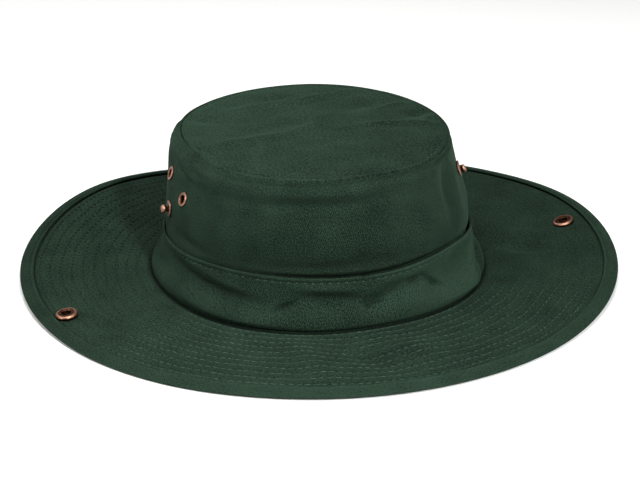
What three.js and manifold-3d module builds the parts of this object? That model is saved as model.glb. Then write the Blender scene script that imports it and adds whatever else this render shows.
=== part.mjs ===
// A bush hat of dark green cotton drill, resting on its brim.
// Millimetres. +Z is up and the front of the hat faces -Y. Left and right are as seen from the front,
// so left is -X. Directions round the hat are angles from +X: right 0, back 90, left 180, front 270.

import * as THREE from "three";
import { mergeVertices } from "three/addons/utils/BufferGeometryUtils.js";
import Module from "manifold-3d";

const wasm = await Module();
wasm.setup();

// The oval seam between crown and brim
const SEAM_HALF_WIDTH = 90;
const SEAM_HALF_DEPTH = 98;
const SEAM_RADIUS = (SEAM_HALF_WIDTH + SEAM_HALF_DEPTH) / 2; // the same seam taken as a circle

// The brim reaches a little further at front and back than at the sides
const REACH_SIDE = 71;
const REACH_FRONT = 72.5;

// Cloth
const DRILL = 1.2; // one panel, as turned and pressed
const GAP = 0.3; // left between neighbouring pieces
const BINDING_THICK = 1;
const BINDING_WIDTH = 7.5;
const BINDING_ROUND = 1.4; // of the binding's outer corners
const EDGE_FLAT = 9; // outermost stretch of the brim, which lies level
const EDGE_TOP = BINDING_THICK + GAP + DRILL; // brim's upper face above the binding's underside

const STEPS_ROUND = 72;

// How the soft hat sits, every 30 degrees:
// lift     the binding's underside above the ground, where 0 or less lies flat
// seam     the brim's upper face at the crown seam
// bandTop  the band's upper edge, and bandIn how far it leans in from the seam
// topSeam  the seam of the top panel, and topIn how far it lies in from the brim seam
const DIRECTIONS = [
  { at: 0, lift: 7, seam: 1.8, bandTop: 24.5, bandIn: 7, topSeam: 76.5, topIn: 19 },
  { at: 30, lift: 3, seam: 1.6, bandTop: 24.5, bandIn: 7, topSeam: 77, topIn: 18 },
  { at: 60, lift: 0, seam: 1.6, bandTop: 24.5, bandIn: 7, topSeam: 77.5, topIn: 17.5 },
  { at: 90, lift: 0, seam: 1.8, bandTop: 25, bandIn: 7.5, topSeam: 77.5, topIn: 18 },
  { at: 120, lift: 6.5, seam: 2.2, bandTop: 25, bandIn: 8, topSeam: 78, topIn: 19 },
  { at: 150, lift: 3, seam: 3, bandTop: 25.5, bandIn: 8, topSeam: 79.5, topIn: 20 },
  { at: 180, lift: 1, seam: 3, bandTop: 26.5, bandIn: 7.5, topSeam: 79.5, topIn: 20.5 },
  { at: 210, lift: -0.3, seam: 1.8, bandTop: 28.5, bandIn: 7.3, topSeam: 77, topIn: 17.5 },
  { at: 240, lift: 0.8, seam: 2.4, bandTop: 29, bandIn: 6.8, topSeam: 77.5, topIn: 17 },
  { at: 270, lift: 0.6, seam: 3.6, bandTop: 29, bandIn: 6.6, topSeam: 78, topIn: 17.3 },
  { at: 300, lift: 0.8, seam: 2.4, bandTop: 30, bandIn: 7, topSeam: 76, topIn: 18 },
  { at: 330, lift: 4.5, seam: 2, bandTop: 26.5, bandIn: 7, topSeam: 76, topIn: 19 },
];

// The band from its foot to its upper edge: shares of its height and of its lean
const BAND_SECTIONS = [
  { name: "foot", up: 0, lean: 0 },
  { name: "swell", up: 0.2, lean: -0.03 },
  { name: "waist", up: 0.45, lean: 0.3 },
  { name: "upper", up: 0.72, lean: 0.8 },
  { name: "edge", up: 1, lean: 1 },
];

// The side panel from the band's edge to the top seam: the left side stands straighter than the right
const SIDE_SECTIONS = [
  { name: "band edge", up: 0, leanLeft: 0, leanRight: 0 },
  { name: "lower", up: 0.3, leanLeft: 0.12, leanRight: 0.12 },
  { name: "middle", up: 0.58, leanLeft: 0.29, leanRight: 0.5 },
  { name: "upper", up: 0.84, leanLeft: 0.46, leanRight: 0.77 },
  { name: "shoulder", up: 0.96, leanLeft: 0.68, leanRight: 0.9 },
  { name: "top seam", up: 1, leanLeft: 1, leanRight: 1 },
];

// Folds and dents of the soft crown. at: direction of its middle. height: its middle above the ground.
// long, wide: half its length and width. rise: slope of its line, in degrees. deep: depth, negative if proud.
const CROWN_FOLDS = [
  { name: "left crease", at: 199, height: 62, long: 17, wide: 6, rise: -60, deep: 1.5 },
  { name: "front dent", at: 243, height: 64, long: 46, wide: 8, rise: 0, deep: 1.4 },
  { name: "front swell", at: 246, height: 44, long: 50, wide: 9, rise: 0, deep: -1 },
  { name: "right hollow", at: 318, height: 60, long: 24, wide: 10, rise: 25, deep: 1.6 },
  { name: "right shoulder", at: 300, height: 72, long: 26, wide: 6, rise: 10, deep: -0.8 },
  { name: "back dent", at: 95, height: 55, long: 45, wide: 12, rise: 8, deep: 1.5 },
  { name: "rear right fold", at: 40, height: 50, long: 24, wide: 8, rise: -40, deep: 1.2 },
  { name: "band sag", at: 214, height: 15, long: 34, wide: 8, rise: -8, deep: 1 },
  { name: "band arch", at: 292, height: 16, long: 22, wide: 7, rise: 6, deep: 1.2 },
];

// Soft ridges and dents of the top panel, by direction and share of the way out from its middle
const TOP_FOLDS = [
  { name: "back ridge", at: 95, out: 0.62, long: 34, wide: 9, turn: 0, rise: 1.2 },
  { name: "left ridge", at: 190, out: 0.5, long: 24, wide: 8, turn: 60, rise: 0.9 },
  { name: "front dip", at: 255, out: 0.5, long: 40, wide: 12, turn: 0, rise: -1 },
  { name: "right dip", at: 5, out: 0.72, long: 14, wide: 8, turn: 80, rise: -1.4 },
  { name: "right ridge", at: 330, out: 0.6, long: 22, wide: 8, turn: 30, rise: 1 },
];
const TOP_DOME = 2.5; // the panel's swell above its seam
const TOP_SEAM_IN = 18; // how far the top seam mostly lies in from the brim seam
const TOP_RINGS = [0.3, 0.62, 0.86, 1]; // shares of the way out from the middle to the seam
const TOP_LEVEL_POWER = 2; // how soon the panel leaves the height of its seam
const TOP_DOME_POWER = 4; // how flat the swell and its folds stay before they end at the seam
const SIDE_FOLD_FADE = 0.1; // the side's folds end over this share of its height below the seam

// Brim rows, outwards from the seam; the last row is the cut edge inside the binding
const BRIM_INNER = -(2 * DRILL + GAP + 0.6);
const BRIM_ROWS = [BRIM_INNER, 0.5, 14, 32, 50, 62.5];
const BRIM_BEND = 1.15; // above 1 the brim keeps its seam's height longer

// Eyelets: brass vents in the side panel, in front of and behind each stud
const EYELET = {
  flangeRadius: 3.8,
  flangeHeight: 0.8,
  crestRadius: 3.14,
  tubeRadius: 2.7,
  holeRadius: 2.15,
  holeHeight: 0.48,
  sides: 12,
};
const EYELETS = [
  { name: "eyelet_left_front", at: 186.5, up: 0.53 },
  { name: "eyelet_left_rear", at: 171.5, up: 0.66 },
  { name: "eyelet_right_front", at: 331, up: 0.65 },
  { name: "eyelet_right_rear", at: 2.5, up: 0.66 },
];

// Press studs: a stud on each side of the crown, and its socket on the brim
const STUD = {
  plateRadius: 4.5,
  plateTopRadius: 3.6,
  plateHeight: 0.8,
  neckRadius: 1.4,
  headFrom: 2.1,
  headRadius: 2.3,
  headWidest: 3.02,
  crestRadius: 1.84,
  crestHeight: 4.1,
  standOff: 4.4,
  backRadius: 3.15,
  sides: 14,
};
const STUDS = [
  { name: "stud_left", at: 172.5, up: 0.3 },
  { name: "stud_right", at: 347, up: 0.45 },
];
const SOCKET = {
  radius: 5.8,
  wallHeight: 1.05,
  shoulderRadius: 4.99,
  shoulderHeight: 2.4,
  crestRadius: 4.18,
  height: 3,
  rimRadius: 3.4,
  wellRadius: 2.45,
  wellEdge: 2.16,
  floor: 0.8,
  sides: 16,
};
const CAP = { radius: 5.2, height: 1, edge: 0.5, flatRadius: 3.9, shankRadius: 1.8, sides: 14 };
const SOCKETS = [
  { side: "left", at: 186, out: 57 },
  { side: "right", at: 350.5, out: 51.5 },
];
const SEAT = 0.35; // gap under a flange, a little more than GAP because the cloth curves under it
const PUNCH_LENGTH = 14; // reaches right through the cloth
const SLOPE_SHARE = 0.05; // a fitting lies along the slope between points this far above and below it
const SLOPE_REACH = 5; // and on the brim between points this far inside and outside it

const radians = THREE.MathUtils.degToRad;
const mix = THREE.MathUtils.lerp;
const clamp = THREE.MathUtils.clamp;

// A column of DIRECTIONS at any angle, along a smooth closed curve through its rows
function around(column, angle) {
  const place = THREE.MathUtils.euclideanModulo(angle, 360) / (360 / DIRECTIONS.length);
  const row = Math.floor(place);
  const t = place - row;
  const value = (step) => DIRECTIONS[(row + step + DIRECTIONS.length) % DIRECTIONS.length][column];
  const slopeHere = (value(1) - value(-1)) / 2;
  const slopeNext = (value(2) - value(0)) / 2;
  const curve = 2 * value(0) - 2 * value(1) + slopeHere + slopeNext;
  const bend = -3 * value(0) + 3 * value(1) - 2 * slopeHere - slopeNext;
  return ((curve * t + bend) * t + slopeHere) * t + value(0);
}

// The point on the seam's oval in this direction, moved outwards at right angles to it
function ovalPoint(angle, out, height) {
  const a = radians(angle);
  const normal = new THREE.Vector2(Math.cos(a) / SEAM_HALF_WIDTH, Math.sin(a) / SEAM_HALF_DEPTH).normalize();
  return new THREE.Vector3(
    SEAM_HALF_WIDTH * Math.cos(a) + normal.x * out,
    SEAM_HALF_DEPTH * Math.sin(a) + normal.y * out,
    height,
  );
}

// How deep the crown's folds press in at this direction and height
function foldDepth(angle, height) {
  let depth = 0;
  for (const fold of CROWN_FOLDS) {
    const turn = THREE.MathUtils.euclideanModulo(angle - fold.at + 180, 360) - 180;
    const across = radians(turn) * SEAM_RADIUS;
    const up = height - fold.height;
    const slope = radians(fold.rise);
    const alongLine = across * Math.cos(slope) + up * Math.sin(slope);
    const offLine = up * Math.cos(slope) - across * Math.sin(slope);
    depth += fold.deep * Math.exp(-((alongLine / fold.long) ** 2) - (offLine / fold.wide) ** 2);
  }
  return depth;
}

// The band's outer face as (out, height) points at one direction, foot first
function bandFace(angle) {
  const foot = around("seam", angle) + GAP;
  const top = around("bandTop", angle);
  const lean = around("bandIn", angle);
  return BAND_SECTIONS.map((section) => {
    const height = mix(foot, top, section.up);
    const fold = foldDepth(angle, height) * Math.sin(Math.PI * section.up);
    return new THREE.Vector2(-lean * section.lean - fold, height);
  });
}

// The side panel's outer face above the band, at a share of the way up to the top seam
function sideFacePoint(angle, up) {
  const upper = Math.max(1, SIDE_SECTIONS.findIndex((section) => section.up >= up));
  const below = SIDE_SECTIONS[upper - 1];
  const above = SIDE_SECTIONS[upper];
  const t = (up - below.up) / (above.up - below.up);
  const leftShare = (1 - Math.cos(radians(angle))) / 2;
  const lean = mix(mix(below.leanRight, above.leanRight, t), mix(below.leanLeft, above.leanLeft, t), leftShare);
  const height = mix(around("bandTop", angle), around("topSeam", angle), up);
  const behindBand = around("bandIn", angle) + DRILL + GAP;
  const fold = foldDepth(angle, height) * clamp((1 - up) / SIDE_FOLD_FADE, 0, 1);
  return new THREE.Vector2(-mix(behindBand, around("topIn", angle), lean) - fold, height);
}

// A line of (out, height) points moved in by a distance, square to itself, and level at its foot
function movedIn(line, distance) {
  return line.map((point, i) => {
    const before = line[Math.max(i - 1, 0)];
    const after = line[Math.min(i + 1, line.length - 1)];
    const along = i === 0 ? new THREE.Vector2(0, 1) : after.clone().sub(before).normalize();
    return point.clone().add(new THREE.Vector2(-along.y, along.x).multiplyScalar(distance));
  });
}

// A cloth wall as one closed loop: its outer line, and the same line moved in by the cloth's thickness.
// endShift leads from the outer line's last point to the inner line's.
function wallLoop(outerLine, endShift) {
  const innerLine = movedIn(outerLine, DRILL);
  innerLine[innerLine.length - 1] = outerLine[outerLine.length - 1].clone().add(endShift);
  return [...outerLine, ...innerLine.reverse()];
}
const LEVEL_END = new THREE.Vector2(-DRILL, 0);
const UPRIGHT_END = new THREE.Vector2(0, -DRILL);

// A closed ring round the hat, from a loop of (out, height) points at each direction
function ringGeometry(loopAt) {
  const loops = [];
  for (let step = 0; step < STEPS_ROUND; step++) {
    const angle = (360 * step) / STEPS_ROUND;
    loops.push(loopAt(angle).map((point) => ovalPoint(angle, point.x, point.y)));
  }
  const corners = [];
  for (let step = 0; step < STEPS_ROUND; step++) {
    const here = loops[step];
    const next = loops[(step + 1) % STEPS_ROUND];
    for (let i = 0; i < here.length; i++) {
      const j = (i + 1) % here.length;
      corners.push(here[i], next[i], next[j], here[i], next[j], here[j]);
    }
  }
  return new THREE.BufferGeometry().setFromPoints(corners);
}

function solidFrom(geometry) {
  const bare = geometry.index ? geometry.toNonIndexed() : geometry.clone();
  bare.deleteAttribute("normal");
  bare.deleteAttribute("uv");
  const merged = mergeVertices(bare, 1e-3);
  return new wasm.Manifold(
    new wasm.Mesh({
      numProp: 3,
      vertProperties: merged.attributes.position.array,
      triVerts: new Uint32Array(merged.index.array),
    }),
  );
}

function geometryFrom(solid) {
  const mesh = solid.getMesh();
  const geometry = new THREE.BufferGeometry();
  geometry.setAttribute("position", new THREE.BufferAttribute(mesh.vertProperties, 3));
  geometry.setIndex(new THREE.BufferAttribute(mesh.triVerts, 1));
  return geometry;
}

// The cloth with a round hole cut through it at each seat
function pierced(geometry, seats, radius, sides) {
  let solid = solidFrom(geometry);
  for (const seat of seats) {
    const punch = new THREE.CylinderGeometry(radius, radius, PUNCH_LENGTH, sides);
    punch.rotateX(Math.PI / 2);
    punch.applyMatrix4(seat);
    solid = solid.subtract(solidFrom(punch));
  }
  return geometryFrom(solid);
}

// A seat is the matrix that puts a fitting's own +Z along the cloth's outward normal, at a point of its face
function seatFrom(origin, alongHat, upCloth) {
  const normal = alongHat.clone().cross(upCloth).normalize();
  const xAxis = alongHat.clone().normalize();
  const yAxis = normal.clone().cross(xAxis);
  return new THREE.Matrix4().makeBasis(xAxis, yAxis, normal).setPosition(origin);
}

// On the side panel, found from the facet that the fitting sits on
function sideSeat(at, up) {
  const facePoint = (angle, share) => {
    const point = sideFacePoint(angle, share);
    return ovalPoint(angle, point.x, point.y);
  };
  const facet = 180 / STEPS_ROUND;
  const before = facePoint(at - facet, up);
  const after = facePoint(at + facet, up);
  const above = facePoint(at, up + SLOPE_SHARE);
  const below = facePoint(at, up - SLOPE_SHARE);
  return seatFrom(before.clone().lerp(after, 0.5), after.sub(before), above.sub(below));
}

function reachAt(angle) {
  return mix(REACH_SIDE, REACH_FRONT, Math.sin(radians(angle)) ** 2);
}

function liftAt(angle) {
  return Math.max(0, around("lift", angle));
}

// The brim's upper face
function brimTop(angle, out) {
  const share = clamp(out / (reachAt(angle) - EDGE_FLAT), 0, 1) ** BRIM_BEND;
  return mix(around("seam", angle), liftAt(angle) + EDGE_TOP, share);
}

function brimSeat(at, out) {
  const facePoint = (angle, distance) => ovalPoint(angle, distance, brimTop(angle, distance));
  const facet = 180 / STEPS_ROUND;
  const before = facePoint(at - facet, out);
  const after = facePoint(at + facet, out);
  const outwards = facePoint(at, out + SLOPE_REACH).sub(facePoint(at, out - SLOPE_REACH));
  return seatFrom(before.clone().lerp(after, 0.5), outwards, after.sub(before));
}

// Solid of revolution about +Z from a closed loop of [radius, height] points
function turned(points, sides) {
  const loop = [...points, points[0]].map(([radius, height]) => new THREE.Vector2(radius, height));
  return new THREE.LatheGeometry(loop, sides).rotateX(Math.PI / 2);
}

const hat = new THREE.Group();

const drillCloth = () => new THREE.MeshStandardMaterial({ color: 0x2c4536, roughness: 0.9, metalness: 0 });
const agedCopper = () => new THREE.MeshStandardMaterial({ color: 0x8f5a3c, roughness: 0.4, metalness: 0.9 });

function add(name, geometry, material, matrix) {
  const mesh = new THREE.Mesh(geometry, material);
  mesh.name = name;
  if (matrix) mesh.applyMatrix4(matrix);
  hat.add(mesh);
}

// Crown: an oval top panel, a side panel that runs down behind the band, and the band round its foot
const eyeletSeats = EYELETS.map((eyelet) => sideSeat(eyelet.at, eyelet.up));
const studSeats = STUDS.map((stud) => sideSeat(stud.at, stud.up));

function sidePanelLoop(angle) {
  const behindBand = movedIn(bandFace(angle), DRILL + GAP);
  const above = SIDE_SECTIONS.slice(1).map((section) => sideFacePoint(angle, section.up));
  return wallLoop([...behindBand, ...above], UPRIGHT_END);
}

let sidePanel = ringGeometry(sidePanelLoop);
sidePanel = pierced(sidePanel, eyeletSeats, EYELET.tubeRadius + GAP, EYELET.sides);
sidePanel = pierced(sidePanel, studSeats, STUD.neckRadius + GAP, STUD.sides);
add("crown_side", sidePanel, drillCloth());

add("crown_band", ringGeometry((angle) => wallLoop(bandFace(angle), LEVEL_END)), drillCloth());

function topFoldRise(x, y) {
  let rise = 0;
  for (const fold of TOP_FOLDS) {
    const a = radians(fold.at);
    const middleX = fold.out * (SEAM_HALF_WIDTH - TOP_SEAM_IN) * Math.cos(a);
    const middleY = fold.out * (SEAM_HALF_DEPTH - TOP_SEAM_IN) * Math.sin(a);
    const turn = radians(fold.turn);
    const alongLine = (x - middleX) * Math.cos(turn) + (y - middleY) * Math.sin(turn);
    const offLine = (y - middleY) * Math.cos(turn) - (x - middleX) * Math.sin(turn);
    rise += fold.rise * Math.exp(-((alongLine / fold.long) ** 2) - (offLine / fold.wide) ** 2);
  }
  return rise;
}

function topPanel() {
  const middleHeight = DIRECTIONS.reduce((sum, row) => sum + row.topSeam, 0) / DIRECTIONS.length;
  const pointAt = (angle, share, drop) => {
    const edge = ovalPoint(angle, -around("topIn", angle) - GAP, around("topSeam", angle));
    const base = mix(middleHeight, edge.z, share ** TOP_LEVEL_POWER);
    const x = edge.x * share;
    const y = edge.y * share;
    const swell = (TOP_DOME + topFoldRise(x, y)) * (1 - share ** TOP_DOME_POWER);
    return new THREE.Vector3(x, y, base + swell - drop);
  };
  const corners = [];
  const quad = (a, b, c, d) => corners.push(a, b, c, a, c, d);
  for (let step = 0; step < STEPS_ROUND; step++) {
    const here = (360 * step) / STEPS_ROUND;
    const next = (360 * (step + 1)) / STEPS_ROUND;
    corners.push(pointAt(0, 0, 0), pointAt(here, TOP_RINGS[0], 0), pointAt(next, TOP_RINGS[0], 0));
    corners.push(pointAt(0, 0, DRILL), pointAt(next, TOP_RINGS[0], DRILL), pointAt(here, TOP_RINGS[0], DRILL));
    for (let ring = 1; ring < TOP_RINGS.length; ring++) {
      const inner = TOP_RINGS[ring - 1];
      const outer = TOP_RINGS[ring];
      quad(pointAt(here, inner, 0), pointAt(here, outer, 0), pointAt(next, outer, 0), pointAt(next, inner, 0));
      quad(
        pointAt(here, inner, DRILL),
        pointAt(next, inner, DRILL),
        pointAt(next, outer, DRILL),
        pointAt(here, outer, DRILL),
      );
    }
    quad(pointAt(here, 1, DRILL), pointAt(next, 1, DRILL), pointAt(next, 1, 0), pointAt(here, 1, 0));
  }
  return new THREE.BufferGeometry().setFromPoints(corners);
}
add("crown_top", topPanel(), drillCloth());

// Brim: one flat ring of quilted drill under the crown's foot, with a folded binding round its edge
const socketSeats = SOCKETS.map((socket) => brimSeat(socket.at, socket.out));

function brimLoop(angle) {
  const cutEdge = reachAt(angle) - BINDING_THICK - GAP;
  const upper = [...BRIM_ROWS, cutEdge].map((out) => new THREE.Vector2(out, brimTop(angle, out)));
  const lower = upper.map((point) => new THREE.Vector2(point.x, point.y - DRILL));
  return [...upper, ...lower.reverse()].reverse();
}
add("brim", pierced(ringGeometry(brimLoop), socketSeats, CAP.shankRadius + GAP, CAP.sides), drillCloth());

function bindingLoop(angle) {
  const edge = reachAt(angle);
  const lip = edge - BINDING_WIDTH;
  const fold = edge - BINDING_THICK;
  const under = liftAt(angle);
  const over = under + EDGE_TOP + GAP + BINDING_THICK;
  return [
    [lip, under],
    [edge - BINDING_ROUND, under],
    [edge, under + BINDING_ROUND],
    [edge, over - BINDING_ROUND],
    [edge - BINDING_ROUND, over],
    [lip, over],
    [lip, over - BINDING_THICK],
    [fold, over - BINDING_THICK],
    [fold, under + BINDING_THICK],
    [lip, under + BINDING_THICK],
  ].map(([out, height]) => new THREE.Vector2(out, height));
}
add("brim_binding", ringGeometry(bindingLoop), drillCloth());

// Eyelets: a flange outside, a tube through the cloth and a rolled edge inside
function eyeletGeometry() {
  const { flangeRadius, flangeHeight, crestRadius, tubeRadius, holeRadius, holeHeight, sides } = EYELET;
  const inside = -(DRILL + SEAT);
  return turned(
    [
      [tubeRadius, inside],
      [tubeRadius, SEAT],
      [flangeRadius, SEAT],
      [crestRadius, SEAT + flangeHeight],
      [holeRadius, SEAT + holeHeight],
      [holeRadius, inside - holeHeight],
      [crestRadius, inside - flangeHeight],
      [flangeRadius, inside],
    ],
    sides,
  );
}
EYELETS.forEach((eyelet, i) => add(eyelet.name, eyeletGeometry(), agedCopper(), eyeletSeats[i]));

// Studs: a plate against the cloth, a neck and head outside, and a shank to a clenched back inside
function studGeometry() {
  const { plateRadius, plateTopRadius, plateHeight, neckRadius, backRadius, sides } = STUD;
  const { headFrom, headRadius, headWidest, crestRadius, crestHeight, standOff } = STUD;
  const face = SEAT + plateHeight;
  const inside = -(DRILL + SEAT);
  return turned(
    [
      [0, inside - plateHeight],
      [backRadius, inside - plateHeight],
      [plateTopRadius, inside],
      [neckRadius, inside],
      [neckRadius, SEAT],
      [plateRadius, SEAT],
      [plateTopRadius, face],
      [neckRadius, face],
      [neckRadius, SEAT + headFrom],
      [headRadius, SEAT + headWidest],
      [crestRadius, SEAT + crestHeight],
      [0, SEAT + standOff],
    ],
    sides,
  );
}
STUDS.forEach((stud, i) => add(stud.name, studGeometry(), agedCopper(), studSeats[i]));

// Sockets: a domed ring with an open well on the brim, and a plain cap under it whose shank passes through
function socketGeometry() {
  const { radius, wallHeight, shoulderRadius, shoulderHeight, crestRadius, height, sides } = SOCKET;
  const { rimRadius, wellRadius, wellEdge, floor } = SOCKET;
  return turned(
    [
      [0, SEAT],
      [radius, SEAT],
      [radius, SEAT + wallHeight],
      [shoulderRadius, SEAT + shoulderHeight],
      [crestRadius, SEAT + height],
      [rimRadius, SEAT + shoulderHeight],
      [wellRadius, SEAT + wellEdge],
      [wellRadius, SEAT + floor],
      [0, SEAT + floor],
    ],
    sides,
  );
}

function capGeometry() {
  const { radius, height, edge, flatRadius, shankRadius, sides } = CAP;
  const under = -(DRILL + SEAT);
  return turned(
    [
      [0, under - height],
      [flatRadius, under - height],
      [radius, under - edge],
      [radius, under],
      [shankRadius, under],
      [shankRadius, SEAT - GAP],
      [0, SEAT - GAP],
    ],
    sides,
  );
}
SOCKETS.forEach((socket, i) => {
  add(`socket_${socket.side}`, socketGeometry(), agedCopper(), socketSeats[i]);
  add(`cap_${socket.side}`, capGeometry(), agedCopper(), socketSeats[i]);
});

export default hat;
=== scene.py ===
import math

import bmesh
import bpy
import numpy as np
from mathutils import Matrix, Vector, noise


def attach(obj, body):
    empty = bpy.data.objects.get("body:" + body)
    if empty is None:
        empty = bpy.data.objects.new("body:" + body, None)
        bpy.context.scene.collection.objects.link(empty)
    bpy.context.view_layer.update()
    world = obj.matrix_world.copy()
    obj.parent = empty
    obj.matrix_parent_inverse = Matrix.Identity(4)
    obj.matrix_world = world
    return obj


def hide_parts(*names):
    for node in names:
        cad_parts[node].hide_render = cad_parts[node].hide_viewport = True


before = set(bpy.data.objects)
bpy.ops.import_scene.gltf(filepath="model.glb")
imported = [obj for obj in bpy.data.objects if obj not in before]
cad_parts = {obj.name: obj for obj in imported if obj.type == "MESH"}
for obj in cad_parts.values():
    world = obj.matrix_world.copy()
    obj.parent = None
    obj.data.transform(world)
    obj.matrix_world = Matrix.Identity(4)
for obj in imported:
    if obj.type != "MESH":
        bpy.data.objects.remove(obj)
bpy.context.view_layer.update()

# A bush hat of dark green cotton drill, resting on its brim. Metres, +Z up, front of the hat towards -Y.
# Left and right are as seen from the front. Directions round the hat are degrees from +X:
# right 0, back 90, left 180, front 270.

MM = 0.001

# Camera
# A long lens looks down on the front of the hat from a little to its left,
# and the hat fills most of the width of the frame.

CAMERA_AZIMUTH = math.radians(-21.5)
CAMERA_ELEVATION = math.radians(22.13)
CAMERA_ROLL = math.radians(-1.87)
CAMERA_DISTANCE = 1150 * MM
SENSOR_WIDTH = 36  # mm
FOCAL_SHARE = 2105 / 640  # focal length against the width of the frame
NEAREST_SEEN = 0.05
LOOK_HEIGHT = 13.95 * MM
LOOK_RIGHT = 1.95 * MM

towards_camera = Vector((
    math.sin(CAMERA_AZIMUTH) * math.cos(CAMERA_ELEVATION),
    -math.cos(CAMERA_AZIMUTH) * math.cos(CAMERA_ELEVATION),
    math.sin(CAMERA_ELEVATION),
))
level_right = Vector((math.cos(CAMERA_AZIMUTH), math.sin(CAMERA_AZIMUTH), 0))
level_up = towards_camera.cross(level_right)
camera_right = level_right * math.cos(CAMERA_ROLL) + level_up * math.sin(CAMERA_ROLL)
camera_up = level_up * math.cos(CAMERA_ROLL) - level_right * math.sin(CAMERA_ROLL)
camera_place = Vector((0, 0, LOOK_HEIGHT)) + level_right * LOOK_RIGHT + towards_camera * CAMERA_DISTANCE


def add_object(name, data):
    """A new object in the scene."""
    made = bpy.data.objects.new(name, data)
    bpy.context.scene.collection.objects.link(made)
    return made


camera_data = bpy.data.cameras.new("camera")
camera_data.sensor_width = SENSOR_WIDTH
camera_data.lens = SENSOR_WIDTH * FOCAL_SHARE
camera_data.clip_start = NEAREST_SEEN
camera = add_object("camera", camera_data)
camera.matrix_world = Matrix((
    (camera_right.x, camera_up.x, towards_camera.x, camera_place.x),
    (camera_right.y, camera_up.y, towards_camera.y, camera_place.y),
    (camera_right.z, camera_up.z, towards_camera.z, camera_place.z),
    (0, 0, 0, 1),
))
bpy.context.scene.camera = camera

# Floor and light
# A sheet of matt white paper. One small lamp in front of the hat, a little to the right of the camera, draws
# the folds and the shadow. A near one above the camera lights the brim, and large soft ones at both sides, at
# the rear left and overhead fill in.


def colour(hex_code):
    """An sRGB hex colour as linear red, green, blue and alpha."""
    shares = [int(hex_code[i:i + 2], 16) / 255 for i in (1, 3, 5)]
    linear = [s / 12.92 if s <= 0.04045 else ((s + 0.055) / 1.055) ** 2.4 for s in shares]
    return (*linear, 1)


def add_node(tree, kind, inputs=None, stops=(), **settings):
    """A node with its settings and the stops of its colour ramp. Each input is given a value to hold, or
    what it is linked from: an output, or a node for its first output in use."""
    made = tree.nodes.new(kind)
    for name, value in settings.items():
        setattr(made, name, value)
    for number, (position, hex_code) in enumerate(stops):
        elements = made.color_ramp.elements
        stop = elements[number] if number < 2 else elements.new(position)
        stop.position = position
        stop.color = colour(hex_code)
    for name, value in (inputs or {}).items():
        usable = [s for s in made.inputs if s.enabled and s.name == name] or [made.inputs[name]]
        if isinstance(value, bpy.types.Node):
            value = next(s for s in value.outputs if s.enabled)
        if isinstance(value, bpy.types.NodeSocket):
            tree.links.new(value, usable[0])
        else:
            usable[0].default_value = value
    return made


def new_material(name):
    """A new material, and its node tree with nothing in it."""
    material = bpy.data.materials.new(name)
    material.use_nodes = True
    material.node_tree.nodes.clear()
    return material, material.node_tree


# Matt paper: a faint mottle keeps it from being one flat tone
paper, tree = new_material("matt_white_paper")
place = add_node(tree, "ShaderNodeTexCoord")
mottle = add_node(tree, "ShaderNodeTexNoise", {"Vector": place.outputs["Object"], "Scale": 6, "Detail": 2})
tone = add_node(tree, "ShaderNodeValToRGB", {"Fac": mottle}, stops=[(0, "#fafaf9"), (1, "#fefefd")])
shader = add_node(tree, "ShaderNodeBsdfPrincipled", {
    "Base Color": tone, "Roughness": 0.95, "Specular IOR Level": 0.1,
})
add_node(tree, "ShaderNodeOutputMaterial", {"Surface": shader})

FLOOR_REACH = 5
floor_mesh = bpy.data.meshes.new("floor")
corners = [(x * FLOOR_REACH, y * FLOOR_REACH, 0) for x, y in ((-1, -1), (1, -1), (1, 1), (-1, 1))]
floor_mesh.from_pydata(corners, [], [(0, 1, 2, 3)])
floor_mesh.materials.append(paper)
floor = add_object("floor", floor_mesh)


def table(columns, *rows):
    """The rows of a table, each one's values by the names of the columns."""
    return [dict(zip(columns.split(), row)) for row in rows]


ROOM_STRENGTH = 0.045
LAMP_AIM = Vector((0, 0, 0.04))

# turn: degrees to the right of the camera. climb: degrees above the floor. Sizes and distances in metres.
LAMPS = table(
    "name turn climb distance size power",
    ("front_lamp", 20, 34, 1.3, 0.085, 15.6),
    ("near_lamp", -4, 72, 0.7, 0.4, 3.6),
    ("right_lamp", 62, 12, 1.6, 0.6, 5.5),
    ("left_lamp", -58, 30, 1.5, 0.8, 12),
    ("rear_left_lamp", -135, 44, 1.6, 0.9, 6.5),
    ("top_lamp", 0, 82, 1.6, 0.9, 6),
)

room = bpy.data.worlds.new("white_room")
room.use_nodes = True
room.node_tree.nodes["Background"].inputs["Color"].default_value = colour("#ffffff")
room.node_tree.nodes["Background"].inputs["Strength"].default_value = ROOM_STRENGTH
bpy.context.scene.world = room

for row in LAMPS:
    bearing = CAMERA_AZIMUTH + math.radians(row["turn"])
    climb = math.radians(row["climb"])
    towards_lamp = Vector((
        math.sin(bearing) * math.cos(climb),
        -math.cos(bearing) * math.cos(climb),
        math.sin(climb),
    ))
    lamp_data = bpy.data.lights.new(row["name"], "AREA")
    lamp_data.shape = "SQUARE"
    lamp_data.size = row["size"]
    lamp_data.energy = row["power"]
    lamp = add_object(row["name"], lamp_data)
    lamp.location = LAMP_AIM + towards_lamp * row["distance"]
    lamp.rotation_euler = towards_lamp.to_track_quat("Z", "Y").to_euler()

bpy.context.scene.view_settings.view_transform = "Standard"

# Brim
# One flat ring of two plies of cotton drill round the crown's foot, quilted together by rows of
# lockstitch 6 mm apart. The rows pull narrow furrows into the cloth, which swells a little between them.

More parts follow.
